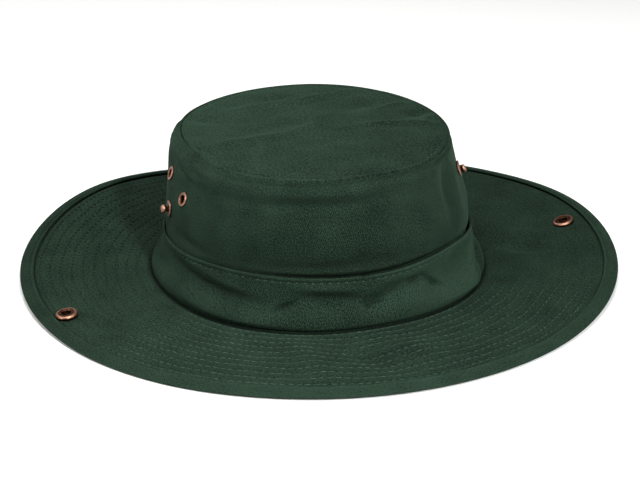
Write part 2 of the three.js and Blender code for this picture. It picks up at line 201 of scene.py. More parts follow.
SEAM_HALF_WIDTH = 90 * MM
SEAM_HALF_DEPTH = 98 * MM
REACH_SIDE = 71 * MM
REACH_FRONT = 72.5 * MM
DRILL = 1.2 * MM
GAP = 0.3 * MM
EDGE_FLAT = 9 * MM
BINDING_WIDTH = 7.4 * MM
EDGE_TOP = 2.5 * MM
EDGE_DROP = 0.3 * MM  # the cloth lies this much lower inside the binding than the solid does
EDGE_SLOPE = 0.35 * MM  # and slopes down this much more to its cut edge
EDGE_DROP_IN = 16 * MM  # the drop and the slope start this far in from the edge
EDGE_SLOPE_IN = 6 * MM
EDGE_DROP_RUN = 8 * MM
EDGE_SLOPE_RUN = 5 * MM
BRIM_INNER = -3.3 * MM
BRIM_BEND = 1.15
ROW_FIRST = 2 * MM
ROW_PITCH = 5.8 * MM
ROW_COUNT = 11
STITCH_PITCH = 4.2 * MM
FURROW_WIDE = 0.95 * MM
SEAM_PULL = 0.8 * MM
SEAM_PULL_WIDE = 2.2 * MM
GROOVE_IN = 7 * MM
GROOVE_WIDE = 1.1 * MM
LOOSE_RUN = 8 * MM  # the cloth is slack this far from the seam and from the groove
CUT_EDGE_IN = 1.3 * MM
CLEAR_OF_FLOOR = 0.05 * MM

# Every 30 degrees, in mm: lift of the edge above the ground, height of the seam, how far the bound edge
# curls up, depth of the groove that runs just inside the binding, depth of the furrows and how far the
# thread lies sunk in them. Last, how strongly the needle holes are painted near black as shade, up to 1.
BRIM_DIRECTIONS = table(
    "at lift seam curl groove furrow sunk holes",
    (0, 7, 1.8, 0.4, 0.9, 0.06, 0.6, 0.1),
    (30, 3, 1.6, 0.3, 1, 0.06, 0.6, 0.1),
    (60, 0, 1.6, 0.3, 0.9, 0.06, 0.5, 0.3),
    (90, 0, 1.8, 0.8, 1.1, 0.1, 0.4, 0.6),
    (120, 8, 2.2, 1, 1.8, 0.12, 0.6, 1),
    (150, 5.2, 3, 0.5, 2, 0.12, 0.6, 0.75),
    (180, 1.8, 3, 0.2, 2.1, 0.12, 0.42, 0.4),
    (210, -0.3, 1.8, 0, 1, 0.16, 0.12, 0.3),
    (240, 0.8, 2.4, 0, 0.2, 0.26, 0.1, 0.4),
    (270, 0.6, 3.6, 0, 0.1, 0.3, 0.1, 0.5),
    (300, 0.8, 2.4, 0, 0.3, 0.3, 0.06, 0.5),
    (330, 4.5, 2, 0, 0.8, 0.12, 0.3, 0.2),
)

# Soft waves and puckers of the brim, in mm. level: distance out from the seam. long, wide: half its length
# and width. rise: slope of its line in degrees. deep: depth, negative if proud.
BRIM_FOLDS = table(
    "name at level long wide rise deep",
    ("right front ridge", 313, 38, 28, 15, 90, -0.9),
    ("right hollow", 337, 30, 28, 17, 105, 1.2),
    ("right pucker", 352, 57, 7, 2.5, 60, 0.5),
    ("right pucker ridge", 348, 57, 8, 2.5, 65, -0.5),
    ("right crease", 343, 22, 13, 5, 122, 1.7),
    ("right crease ridge", 350, 30, 14, 5, 122, -0.8),
    ("front ridge", 246, 34, 24, 9, 58, -2.2),
    ("front valley", 259, 32, 24, 9, 58, 2.2),
    ("front right ridge", 270, 30, 20, 10, 58, -2),
    ("left front ridge", 200, 40, 30, 16, 90, -0.7),
    ("left hollow", 160, 34, 30, 22, 80, 1),
    ("rear left ridge", 128, 36, 28, 14, 90, -0.6),
)


def around(values, direction):
    """A closed smooth curve through values that stand at equal steps round the hat."""
    values = np.asarray(values, float)
    place = np.mod(direction, 360) / (360 / len(values))
    row = np.floor(place).astype(int)
    t = place - row
    before, here, after, beyond = (values[(row + step) % len(values)] for step in (-1, 0, 1, 2))
    slope_here = (after - before) / 2
    slope_next = (beyond - here) / 2
    curve = 2 * here - 2 * after + slope_here + slope_next
    bend = -3 * here + 3 * after - 2 * slope_here - slope_next
    return ((curve * t + bend) * t + slope_here) * t + here


def column(rows, name):
    """One named column of a table."""
    return [row[name] for row in rows]


def read_round(rows, name, direction):
    """One column of a table of directions in mm, as a smooth curve round the hat in metres."""
    return around(column(rows, name), direction) * MM


def hump(where, middle, half_width):
    """A smooth hump of height 1 about its middle."""
    return np.exp(-((where - middle) / half_width) ** 2)


def ramp(where, start, run):
    """A straight rise from 0 at its start to 1 after its run."""
    return np.clip((where - start) / run, 0, 1)


def on_oval(direction, out, height):
    """Points in these directions, moved out square to the seam's oval, at these heights."""
    turn = np.radians(direction)
    across = np.cos(turn) / SEAM_HALF_WIDTH
    along = np.sin(turn) / SEAM_HALF_DEPTH
    size = np.hypot(across, along)
    x = SEAM_HALF_WIDTH * np.cos(turn) + out * across / size
    y = SEAM_HALF_DEPTH * np.sin(turn) + out * along / size
    return np.stack(np.broadcast_arrays(x, y, height), axis=-1)


def fold_depth(folds, direction, level, radius):
    """How deep these folds press into the cloth at these directions and levels."""
    depth = 0
    for fold in folds:
        turn = np.mod(direction - fold["at"] + 180, 360) - 180
        along = np.radians(turn) * radius
        up = level - fold["level"] * MM
        rise = math.radians(fold["rise"])
        on_line = (along * math.cos(rise) + up * math.sin(rise)) / (fold["long"] * MM)
        off_line = (up * math.cos(rise) - along * math.sin(rise)) / (fold["wide"] * MM)
        depth = depth + fold["deep"] * MM * np.exp(-on_line ** 2 - off_line ** 2)
    return depth


def rumple(points, size, seed):
    """Smooth random unevenness from -1 to 1 over points, with lumps of about this size."""
    flat = points.reshape(-1, 3) / size + seed
    return np.array([noise.noise(p) for p in flat]).reshape(points.shape[:-1])


def reach_at(direction):
    return REACH_SIDE + (REACH_FRONT - REACH_SIDE) * np.sin(np.radians(direction)) ** 2


def lift_at(direction):
    return np.maximum(0, around(column(BRIM_DIRECTIONS, "lift"), direction)) * MM


def seam_at(direction):
    return read_round(BRIM_DIRECTIONS, "seam", direction)


def curl_at(direction, out):
    """How far the bound edge has curled up at this distance out."""
    share = ramp(out - reach_at(direction), -BINDING_WIDTH, BINDING_WIDTH)
    return read_round(BRIM_DIRECTIONS, "curl", direction) * share


def row_wander(direction, out):
    """How far a stitch row strays from its true distance, as a hand-guided row does."""
    turn = np.radians(direction)
    slow = 0.4 * np.sin(3 * turn + out / (17 * MM)) + 0.25 * np.sin(8 * turn - out / (9 * MM))
    quick = 0.28 * np.sin(19 * turn + out / (7 * MM)) + 0.16 * np.sin(43 * turn - out / (5 * MM))
    return (slow + quick) * MM


def furrow_deep(direction):
    return read_round(BRIM_DIRECTIONS, "furrow", direction)


def furrow(direction, out):
    """How deep the furrow of the nearest stitch row presses in here."""
    place = (out + row_wander(direction, out) - ROW_FIRST) / ROW_PITCH
    nearest = np.clip(np.round(place), 0, ROW_COUNT - 1)
    return furrow_deep(direction) * hump((place - nearest) * ROW_PITCH, 0, FURROW_WIDE)


def brim_face(direction, out):
    """Height of the brim's upper face before its furrows. The crown's seam pulls its inner edge down."""
    reach = reach_at(direction)
    share = ramp(out, 0, reach - EDGE_FLAT) ** BRIM_BEND
    seam = seam_at(direction)
    plain = seam + (lift_at(direction) + EDGE_TOP - seam) * share
    drop = EDGE_DROP * ramp(out - reach, -EDGE_DROP_IN, EDGE_DROP_RUN)
    drop = drop + EDGE_SLOPE * ramp(out - reach, -EDGE_SLOPE_IN, EDGE_SLOPE_RUN)
    drop = drop + SEAM_PULL * hump(out, 0, SEAM_PULL_WIDE)
    folds = fold_depth(BRIM_FOLDS, direction, out, SEAM_HALF_DEPTH + out)
    places = on_oval(direction, out, 0)
    loose = ramp(out, 0, LOOSE_RUN) * ramp(reach - GROOVE_IN - out, 0, LOOSE_RUN)
    waves = 0.5 * rumple(places, 42 * MM, 3.1) + 0.3 * rumple(places, 13 * MM, 7.7)
    return plain - drop + (waves * MM - folds) * loose + curl_at(direction, out)


def groove_depth(direction, out):
    """How deep the groove beside the binding presses into the brim."""
    groove = read_round(BRIM_DIRECTIONS, "groove", direction)
    return groove * hump(out, reach_at(direction) - GROOVE_IN, GROOVE_WIDE)


def ring_of_cloth(name, points, pattern, rows=None):
    """A closed ring from points [direction, place round its section], with the cloth's pattern as its UVs.
    A pattern has one more direction and one more place than the points, where the ring closes."""
    steps, places = points.shape[:2]
    step, place = np.meshgrid(np.arange(steps), np.arange(places), indexing="ij")
    corners = [(step, place), (step + 1, place), (step + 1, place + 1), (step, place + 1)]
    index = np.stack([(s % steps) * places + p % places for s, p in corners], axis=-1).reshape(-1, 4)
    flat = points.reshape(-1, 3)
    a, b, c, d = (flat[index[:, i]] for i in range(4))
    inside_out = np.sum(np.cross(a, b) * c) + np.sum(np.cross(a, c) * d) < 0
    if inside_out:
        corners = corners[::-1]
        index = index[:, ::-1]
    mesh = bpy.data.meshes.new(name)
    mesh.from_pydata(flat.tolist(), [], index.tolist())
    for layer, laid in (("cloth", pattern), ("rows", rows)):
        if laid is not None:
            uvs = np.stack([laid[s, p] for s, p in corners], axis=2)
            mesh.uv_layers.new(name=layer).data.foreach_set("uv", uvs.reshape(-1))
    mesh.shade_smooth()
    return mesh


def paint(mesh, name, values):
    """A value at each point of a mesh, for its material to read by this name."""
    mesh.attributes.new(name, "FLOAT", "POINT").data.foreach_set("value", np.ravel(values))


def add_piece(name, mesh, material, nodes):
    """Puts a finished mesh in the scene as a piece that stands for these nodes of the frame."""
    mesh.materials.clear()
    mesh.materials.append(material)
    mesh.name = name
    piece = add_object(name, mesh)
    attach(piece, "root")
    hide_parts(*nodes)
    return piece


# Cotton drill: piece-dyed bottle green with a steep twill line and paler, hairy threads here and there,
# so that it looks matt and finely speckled. Light and shade are painted into its colour on each mesh,
# paler where light falls and darker where shade falls, near black in its grooves and gaps. Needle holes
# pulled open along the brim's rows are painted near black as shade.
TWILL_PITCH = 1.1 * MM  # drawn coarser than the real 0.7 mm so that it shows
THREAD_SPECKLE = 0.8 * MM
DYE_MOTTLE = 22 * MM
FULL_PAINTED_LIGHT = 0.05  # how far the colour moves towards its light end where light is painted 1, and towards its dark end where shade is painted -1
# Near black, painted as shade in grooves, gaps and needle holes
SHADE_BLACK = colour("#020302")
HOLE_LONG = 0.3  # half the length of a needle hole, as a share of a stitch
HOLE_WIDE = 0.15  # half its width, as a share of the distance between rows


def cotton_drill(name, turn, coarse=1, quilted=False, darker=0):
    """Drill with its twill line turned this far, its speckle this much coarser and its colour this much
    darker than usual, as painted shade. Quilted drill has its needle holes painted near black, as shade."""
    material, tree = new_material(name)
    pattern = add_node(tree, "ShaderNodeUVMap", uv_map="cloth")
    laid = add_node(tree, "ShaderNodeMapping", {"Vector": pattern, "Rotation": (0, 0, math.radians(turn))})
    twill = add_node(tree, "ShaderNodeTexWave", {
        "Vector": laid, "Scale": math.tau / (20 * TWILL_PITCH), "Distortion": 2.5,
        "Detail": 2, "Detail Scale": 1.5,
    }, wave_type="BANDS", bands_direction="X")
    speckle = add_node(tree, "ShaderNodeTexNoise", {
        "Vector": laid, "Scale": 1 / (coarse * THREAD_SPECKLE), "Detail": 4, "Roughness": 0.8,
    })
    mottle = add_node(tree, "ShaderNodeTexNoise", {
        "Vector": laid, "Scale": 1 / DYE_MOTTLE, "Detail": 3, "Roughness": 0.6,
    })
    threads = add_node(tree, "ShaderNodeMix", {
        "Factor": 0.06, "A": speckle, "B": twill.outputs["Fac"],
    }, data_type="FLOAT")
    cloth = add_node(tree, "ShaderNodeMix", {"Factor": 0.12, "A": threads, "B": mottle}, data_type="FLOAT")
    # Painted light and shade shift the colour along the dye: up where positive, down where negative
    light_and_shade_attribute = add_node(tree, "ShaderNodeAttribute", attribute_name="painted_light_and_shade")
    painted_light_and_shade = add_node(tree, "ShaderNodeMath", {
        0: light_and_shade_attribute.outputs["Fac"], 1: FULL_PAINTED_LIGHT, 2: cloth,
    }, operation="MULTIPLY_ADD")
    dye = add_node(tree, "ShaderNodeValToRGB", {"Fac": painted_light_and_shade}, stops=[
        (0.425 + darker, "#060d08"), (0.585 + darker, "#27392d"),
    ])
    # Painted shade mixes the colour towards near black
    painted_shade = add_node(tree, "ShaderNodeAttribute", attribute_name="painted_shade")
    base = add_node(tree, "ShaderNodeMix", {
        "Factor": painted_shade.outputs["Fac"], "A": dye, "B": SHADE_BLACK,
    }, data_type="RGBA")
    if quilted:
        rows = add_node(tree, "ShaderNodeUVMap", uv_map="rows")
        place = add_node(tree, "ShaderNodeSeparateXYZ", {"Vector": rows})
        reach = add_node(tree, "ShaderNodeCombineXYZ")
        for axis, size in (("X", HOLE_LONG), ("Y", HOLE_WIDE)):
            off = add_node(tree, "ShaderNodeMath", {0: place.outputs[axis], 1: 0.5}, operation="PINGPONG")
            share = add_node(tree, "ShaderNodeMath", {0: off, 1: size}, operation="DIVIDE")
            tree.links.new(share.outputs[0], reach.inputs[axis])
        away = add_node(tree, "ShaderNodeVectorMath", {0: reach}, operation="LENGTH")
        hole = add_node(tree, "ShaderNodeMapRange", {
            "Value": away.outputs["Value"], "From Min": 0.5, "From Max": 1.1, "To Min": 1, "To Max": 0,
        })
        # Painted shade in the needle holes, as strong as the mesh paints it
        hole_shade = add_node(tree, "ShaderNodeAttribute", attribute_name="needle_hole_shade")
        shown = add_node(tree, "ShaderNodeMath", {
            0: hole, 1: hole_shade.outputs["Fac"],
        }, operation="MULTIPLY")
        base = add_node(tree, "ShaderNodeMix", {"Factor": shown, "A": base, "B": SHADE_BLACK}, data_type="RGBA")
    relief = add_node(tree, "ShaderNodeBump", {"Height": threads, "Distance": 0.35 * MM, "Strength": 0.8})
    shader = add_node(tree, "ShaderNodeBsdfPrincipled", {
        "Base Color": base, "Roughness": 0.9, "IOR": 1.47, "Specular IOR Level": 0.06,
        "Sheen Weight": 0.09, "Sheen Roughness": 0.4, "Sheen Tint": colour("#86b596"), "Normal": relief,
    })
    add_node(tree, "ShaderNodeOutputMaterial", {"Surface": shader})
    return material


# Painted shade on the brim, every 30 degrees, as a shift of its colour: negative where it is darker
BRIM_PAINTED_SHADE = [-0.35, -0.35, -0.3, -0.3, -0.25, -0.2, -0.1, 0, 0, -0.2, -0.3, -0.3]
SHADE_BY_CROWN = 0.9  # this much more painted shade beside the crown, dying away over this run
SHADE_BY_CROWN_RUN = 22 * MM
# Painted shade, near black, in the groove beside the binding and along the crown's foot
FULL_PAINTED_SHADE = 0.95
SHADE_FULL_DEPTH = 1.6 * MM  # a groove this deep is painted full of shade
SEAM_SHADE_WIDE = 1.2 * MM
GROOVE_HELD = 0.5 * MM  # the groove shows underneath by this much less than its depth

STEPS_ROUND = 540
BRIM_TOP_ROWS = 96
BRIM_UNDER_ROWS = 56

directions = np.arange(STEPS_ROUND) * 360 / STEPS_ROUND
round_hat = directions[:, None]


def brim_rows(count):
    """Distances out from the seam, from the brim's hidden inner edge to its cut edge in the binding."""
    cut_edge = reach_at(round_hat) - CUT_EDGE_IN
    return BRIM_INNER + (cut_edge - BRIM_INNER) * np.linspace(0, 1, count)[None, :]


upper_out = brim_rows(BRIM_TOP_ROWS)
under_out = brim_rows(BRIM_UNDER_ROWS)[:, ::-1]
pressed = furrow(round_hat, upper_out) + groove_depth(round_hat, upper_out)
upper = on_oval(round_hat, upper_out, brim_face(round_hat, upper_out) - pressed)
bulge = np.maximum(0, groove_depth(round_hat, under_out) - GROOVE_HELD) - furrow(round_hat, under_out)
under_height = np.maximum(brim_face(round_hat, under_out) - DRILL - bulge, CLEAR_OF_FLOOR)
under = on_oval(round_hat, under_out, under_height)


def beside(*grids):
    """Grids put together, one after another, along their second direction."""
    return np.concatenate(grids, axis=1)


def closed_up(grid):
    """A grid with its first row and first place repeated at its ends, where a ring closes."""
    grid = np.concatenate([grid, grid[:1]])
    return beside(grid, grid[:, :1])


def flat_pattern(points):
    """A pattern laid flat: the cloth's own x and y."""
    return closed_up(points)[..., :2]


# The rows as a second pattern: stitches along a row, and rows across the brim
brim_out = beside(upper_out, under_out)
turn_round = np.arange(STEPS_ROUND + 1)[:, None] * 360 / STEPS_ROUND
row_place = (closed_up(brim_out) + row_wander(turn_round, closed_up(brim_out)) - ROW_FIRST) / ROW_PITCH
row_radius = SEAM_HALF_DEPTH + ROW_FIRST + np.clip(np.round(row_place), 0, ROW_COUNT - 1) * ROW_PITCH
row_pattern = np.stack([np.radians(turn_round) * row_radius / STITCH_PITCH, row_place], axis=-1)

brim_points = beside(upper, under)
brim_cloth = cotton_drill("woven_cotton_drill_brim", 58, coarse=1.4, quilted=True)
brim_mesh = ring_of_cloth("brim_cloth", brim_points, flat_pattern(brim_points), row_pattern)
hole_shade = around(column(BRIM_DIRECTIONS, "holes"), round_hat)
paint(brim_mesh, "needle_hole_shade", hole_shade * np.ones(brim_out.shape))
# Painted shade in the groove and along the crown's foot, on the upper face only
in_groove = ramp(groove_depth(round_hat, upper_out), 0, SHADE_FULL_DEPTH)
by_the_crown = hump(upper_out, 0, SEAM_SHADE_WIDE)
brim_painted_shade = np.zeros(brim_out.shape)
brim_painted_shade[:, :BRIM_TOP_ROWS] = FULL_PAINTED_SHADE * np.maximum(in_groove, by_the_crown)
paint(brim_mesh, "painted_shade", brim_painted_shade)
# Painted shade: darker at the right and the back, more beside the crown
crown_shade_falloff = np.exp(-np.maximum(brim_out, 0) / SHADE_BY_CROWN_RUN)
paint(brim_mesh, "painted_light_and_shade", around(BRIM_PAINTED_SHADE, round_hat) * (1 + SHADE_BY_CROWN * crown_shade_falloff))
add_piece("brim_cloth", brim_mesh, brim_cloth, ["brim"])

# Brim stitches
# Lockstitch in a paler green polyester-cotton thread, 6 stitches to 25 mm, through both plies,
# so the same rows show above and below. Each stitch lies in the furrow that it pulls.

STITCH_LENGTH = 4.1 * MM
STITCH_THICK = 0.25 * MM
THREAD_TWIST = 1.5 * MM
THREAD_PROUD = 0.12 * MM  # height of the thread's middle above the cloth
THREAD_PROUD_UNDER = 0.05 * MM

# Sewing thread: twisted, faintly glossy, worn paler than the cloth
thread, tree = new_material("twisted_sewing_thread")
place = add_node(tree, "ShaderNodeTexCoord")
twist = add_node(tree, "ShaderNodeTexNoise", {
    "Vector": place.outputs["Object"], "Scale": 1 / THREAD_TWIST, "Detail": 1,
})
tone = add_node(tree, "ShaderNodeValToRGB", {"Fac": twist}, stops=[(0.3, "#27392d"), (0.75, "#557061")])
shader = add_node(tree, "ShaderNodeBsdfPrincipled", {
    "Base Color": tone, "Roughness": 0.6, "IOR": 1.5, "Specular IOR Level": 0.25,
})
add_node(tree, "ShaderNodeOutputMaterial", {"Surface": shader})


def stitching_tree():
    """Geometry nodes that lay one small rounded stitch after another along every curve."""
    tree = bpy.data.node_groups.new("stitches_along_rows", "GeometryNodeTree")
    tree.interface.new_socket("Rows", in_out="INPUT", socket_type="NodeSocketGeometry")
    for name, value in (("Pitch", STITCH_PITCH), ("Length", STITCH_LENGTH), ("Thickness", STITCH_THICK)):
        socket = tree.interface.new_socket(name, in_out="INPUT", socket_type="NodeSocketFloat")
        socket.default_value = value
    socket = tree.interface.new_socket("Thread", in_out="INPUT", socket_type="NodeSocketMaterial")
    tree.interface.new_socket("Stitches", in_out="OUTPUT", socket_type="NodeSocketGeometry")
    given = add_node(tree, "NodeGroupInput")
    spots = add_node(tree, "GeometryNodeCurveToPoints", {
        "Curve": given.outputs["Rows"], "Length": given.outputs["Pitch"],
    }, mode="LENGTH")
    along = add_node(tree, "FunctionNodeAlignRotationToVector", {
        "Vector": spots.outputs["Tangent"],
    }, axis="X")
    lay = add_node(tree, "FunctionNodeRandomValue", {"Seed": 11}, data_type="FLOAT_VECTOR")
    lay.inputs["Min"].default_value = (0, -0.04, -0.16)
    lay.inputs["Max"].default_value = (0, 0.04, 0.16)
    turn = add_node(tree, "FunctionNodeEulerToRotation", {"Euler": lay.outputs["Value"]})
    turned = add_node(tree, "FunctionNodeRotateRotation", {
        "Rotation": along, "Rotate By": turn,
    }, rotation_space="LOCAL")
    size = add_node(tree, "ShaderNodeCombineXYZ", {
        "X": given.outputs["Length"], "Y": given.outputs["Thickness"], "Z": given.outputs["Thickness"],
    })
    vary = add_node(tree, "FunctionNodeRandomValue", {"Seed": 23}, data_type="FLOAT_VECTOR")
    vary.inputs["Min"].default_value = (0.7, 0.75, 0.7)
    vary.inputs["Max"].default_value = (1.08, 1.1, 1.1)
    sized = add_node(tree, "ShaderNodeVectorMath", {
        0: size, 1: vary.outputs["Value"],
    }, operation="MULTIPLY")
    stitch = add_node(tree, "GeometryNodeMeshUVSphere", {"Segments": 6, "Rings": 4, "Radius": 0.5})
    laid = add_node(tree, "GeometryNodeInstanceOnPoints", {
        "Points": spots, "Instance": stitch, "Rotation": turned, "Scale": sized.outputs["Vector"],
    })
    real = add_node(tree, "GeometryNodeRealizeInstances", {"Geometry": laid})
    smooth = add_node(tree, "GeometryNodeSetShadeSmooth", {"Geometry": real})
    dressed = add_node(tree, "GeometryNodeSetMaterial", {
        "Geometry": smooth, "Material": given.outputs["Thread"],
    })
    add_node(tree, "NodeGroupOutput", {"Stitches": dressed})
    return tree


stitch_nodes = stitching_tree()


def applied(carrier):
    """The mesh that an object's modifiers make of it. The object itself is removed."""
    evaluated = carrier.evaluated_get(bpy.context.evaluated_depsgraph_get())
    mesh = bpy.data.meshes.new_from_object(evaluated)
    bpy.data.objects.remove(carrier)
    return mesh


def stitched(name, rows, nodes, **sizes):
    """A piece of stitches along these rows of points. sizes gives any of the tree's inputs by name."""
    curve = bpy.data.curves.new(name, "CURVE")
    curve.dimensions = "3D"
    for row in rows:
        spline = curve.splines.new("POLY")
        spline.points.add(len(row) - 1)
        spline.points.foreach_set("co", np.ravel(beside(row, np.ones((len(row), 1)))))
    carrier = add_object(name + "_rows", curve)
    modifier = carrier.modifiers.new("stitches", "NODES")
    modifier.node_group = stitch_nodes
    sockets = {item.name: item.identifier for item in stitch_nodes.interface.items_tree}
    modifier[sockets["Thread"]] = thread
    for size, value in sizes.items():
        modifier[sockets[size]] = value
    return add_piece(name, applied(carrier), thread, nodes)


ROW_POINTS = 720
row_directions = np.arange(ROW_POINTS + 1) * 360 / ROW_POINTS


def brim_stitch_rows(height_at):
    """The rows of the brim, at heights given by a function of direction and distance out."""
    rows = []
    for number in range(ROW_COUNT):
        true_out = ROW_FIRST + number * ROW_PITCH
        out = true_out - row_wander(row_directions, true_out)
        rows.append(on_oval(row_directions, out, height_at(row_directions, out)))
    return rows


sunk = read_round(BRIM_DIRECTIONS, "sunk", row_directions)
upper_rows = brim_stitch_rows(lambda at, out: brim_face(at, out) - furrow_deep(at) + THREAD_PROUD - sunk)
under_rows = brim_stitch_rows(
    lambda at, out: brim_face(at, out) - DRILL + furrow_deep(at) - THREAD_PROUD_UNDER
)
stitched("brim_stitches_upper", upper_rows, ["brim"])
stitched("brim_stitches_under", under_rows, ["brim"])

# Binding
# A strip of the same drill folded over the brim's cut edge and stitched down 1 mm from its lip,
# so that the lip stands up as a thin ridge beside the groove.

BINDING_STEPS = 44
BINDING_STITCH_IN = 5.9 * MM
BINDING_STITCH_UP = 2.45 * MM
LIP_IN = 6.8 * MM
LIP_WIDE = 0.6 * MM
LIP_HEIGHT = 2.6 * MM
LIP_HIGHLIGHT = 0.7

# One section through the binding, in mm: inwards from the brim's edge, and height above the underside
BINDING_SECTION = table(
    "name inwards height",
    ("lip", 7.4, 2.9),
    ("lip ridge", 6.95, 3.6),
    ("stitch line", 5.9, 2.75),
    ("upper swell", 4.9, 3.1),
    ("upper face", 3, 2.5),
    ("upper shoulder", 1.4, 1.9),
    ("over the fold", 0.35, 1.55),
    ("fold", 0, 1.2),
    ("under the fold", 0.25, 0.8),
    ("under shoulder", 1.1, 0.15),
    ("under face", 3, 0),
    ("under lip", 6.6, 0),
    ("under lip edge", 7.1, 0.4),
    ("inside under lip", 6.6, 0.8),
    ("inside under", 3, 0.85),
    ("inside fold", 1.1, 1.5),
    ("inside upper", 3, 1.8),
    ("inside upper lip", 6.8, 2.4),
)

# Painted light and shade on the binding, every 30 degrees: paler where positive, negative where it is darker
BINDING_PAINTED_LIGHT = [-0.15, -0.2, -0.2, -0.25, -0.45, -0.6, -0.45, 0.15, 0.5, 0.45, 0.05, -0.15]

section_places = np.arange(BINDING_STEPS) * 360 / BINDING_STEPS
inwards = around(column(BINDING_SECTION, "inwards"), section_places)[None, :] * MM
above = around(column(BINDING_SECTION, "height"), section_places)[None, :] * MM
binding_out = reach_at(round_hat) - inwards
binding_height = lift_at(round_hat) + above + curl_at(round_hat, binding_out)
binding_points = on_oval(round_hat, binding_out, binding_height)
ripple = rumple(binding_points, 6 * MM, 4.4) * 0.12 + rumple(binding_points, 16 * MM, 1.9) * 0.15
binding_points[..., 2] += ripple * MM * ramp(above, 1.6 * MM, 1.4 * MM)


def strip_pattern(points, radius):
    """A pattern along a ring: length round the ring, and distance across it."""
    steps, places = points.shape[:2]
    length = np.radians(np.arange(steps + 1) * 360 / steps) * radius
    across = np.linalg.norm(np.diff(points[0], axis=0, append=points[0, :1]), axis=1)
    width = np.concatenate([[0], np.cumsum(across)])
    return np.stack(np.broadcast_arrays(length[:, None], width[None, :]), axis=-1)


binding_cloth = cotton_drill("woven_cotton_drill_binding", 45)
binding_pattern = strip_pattern(binding_points, SEAM_HALF_DEPTH + REACH_SIDE)
binding_mesh = ring_of_cloth("binding", binding_points, binding_pattern)
# A painted highlight along the lip ridge, on top of the painted light and shade round the binding
lip = hump(inwards, LIP_IN, LIP_WIDE) * (above > LIP_HEIGHT)
paint(binding_mesh, "painted_light_and_shade", around(BINDING_PAINTED_LIGHT, round_hat) + LIP_HIGHLIGHT * lip)
add_piece("binding", binding_mesh, binding_cloth, ["brim_binding"])

stitch_out = reach_at(row_directions) - BINDING_STITCH_IN
stitch_height = lift_at(row_directions) + curl_at(row_directions, stitch_out) + BINDING_STITCH_UP
binding_row = on_oval(row_directions, stitch_out, stitch_height)
stitched("binding_stitches", [binding_row], ["brim_binding"], Thickness=0.45 * MM)

# Band
# A strip of drill round the crown's foot, sewn into the brim seam below and turned in along its upper
# edge, where it is topstitched. Loose cloth has let it sag on the left and arch over the front.

# Every 30 degrees, in mm: height of the band's upper edge, and how far it leans in over the seam
BAND_DIRECTIONS = table(
    "at top inwards",
    (0, 24.5, 7),
    (30, 24.5, 7),
    (60, 24.5, 7),
    (90, 25, 7.5),
    (120, 25, 8),
    (150, 25.5, 8),
    (180, 26.5, 7.5),
    (210, 28.5, 7.3),
    (240, 29, 6.8),
    (270, 29, 6.6),
    (300, 30, 7),
    (330, 26.5, 7),
)

# Shares of the band's height and of that lean
BAND_SECTIONS = table(
    "name up lean",
    ("foot", 0, 0),
    ("flare", 0.2, 0.16),
    ("waist", 0.45, 0.72),
    ("upper", 0.72, 0.94),
    ("edge", 1, 1),
)

# Folds as on the brim, but their level is the height above the floor
BAND_FOLDS = table(
    "name at level long wide rise deep",
    ("left overhang", 206, 21.5, 26, 3.2, -6, -1.6),
    ("left sag", 206, 16.5, 27, 4.2, -7, 3),
    ("left flare", 214, 6.5, 34, 4, -4, -2.6),
    ("front overhang", 250, 23, 16, 2.6, -3, -1.3),
    ("front sag", 251, 18, 17, 3.2, -2, 3),
    ("front diagonal", 235, 13, 7, 2, 24, 3),
    ("join ridge", 263, 21, 8, 1.7, 84, -3),
    ("beside join", 266, 14.5, 6, 2.6, 12, 4),
    ("arch start", 274, 19, 9, 3.2, 10, 3),
    ("arch", 283, 20.8, 8, 2.2, 3, 4),
    ("arch end", 291.5, 15.5, 8, 2, -36, 4),
    ("under the arch", 280, 13, 12, 4, 4, -1.1),
    ("right hollow", 308, 22, 20, 8, 6, 3.2),
    ("right flare", 308, 5, 24, 5, 4, -2.4),
    ("right turn", 320, 15, 16, 3, 34, -2.4),
    ("right dip", 327, 10, 14, 4, 34, 2.6),
    ("back sag", 80, 14, 40, 4, 5, 1.6),
    ("rear left crease", 130, 16, 24, 2.5, -9, 1.4),
    ("rear right crease", 28, 15, 22, 2.5, 12, 1.4),
)
CROWN_RADIUS = (SEAM_HALF_WIDTH + SEAM_HALF_DEPTH) / 2
FOLDS_FADE = 0.12  # share of its height over which the folds die away towards each edge


def smooth_through(places, values, where):
    """A smooth curve through values at these places."""
    places = np.asarray(places, float)
    values = np.asarray(values, float)
    slopes = np.gradient(values, places)
    i = np.clip(np.searchsorted(places, where) - 1, 0, len(places) - 2)
    span = places[i + 1] - places[i]
    t = (where - places[i]) / span
    rise = values[i + 1] - values[i]
    curve = (slopes[i] + slopes[i + 1]) * span - 2 * rise
    bend = 3 * rise - (2 * slopes[i] + slopes[i + 1]) * span
    return ((curve * t + bend) * t + slopes[i] * span) * t + values[i]


def crowded_ends(count):
    """Shares from 0 to 1 that lie closer together at both ends."""
    even = np.linspace(0, 1, count)[None, :]
    return 0.45 * even + 0.55 * (1 - np.cos(math.pi * even)) / 2


def moved_in(out, height, distance):
    """Lines of out and height, moved in by a distance square to themselves."""
    along_out = np.gradient(out, axis=1)
    along_height = np.gradient(height, axis=1)
    size = np.hypot(along_out, along_height)
    return out - along_height / size * distance, height + along_out / size * distance


def band_top_at(direction):
    return read_round(BAND_DIRECTIONS, "top", direction)


def band_in_at(direction):
    return read_round(BAND_DIRECTIONS, "inwards", direction)


def band_face(direction, up):
    """The band's outer face as out and height, at shares of its height."""
    foot = seam_at(direction) + GAP
    lean = smooth_through(column(BAND_SECTIONS, "up"), column(BAND_SECTIONS, "lean"), up)
    height = foot + (band_top_at(direction) - foot) * up
    fold = fold_depth(BAND_FOLDS, direction, height, CROWN_RADIUS)
    return -band_in_at(direction) * lean - fold * ramp(np.minimum(up, 1 - up), 0, FOLDS_FADE), height


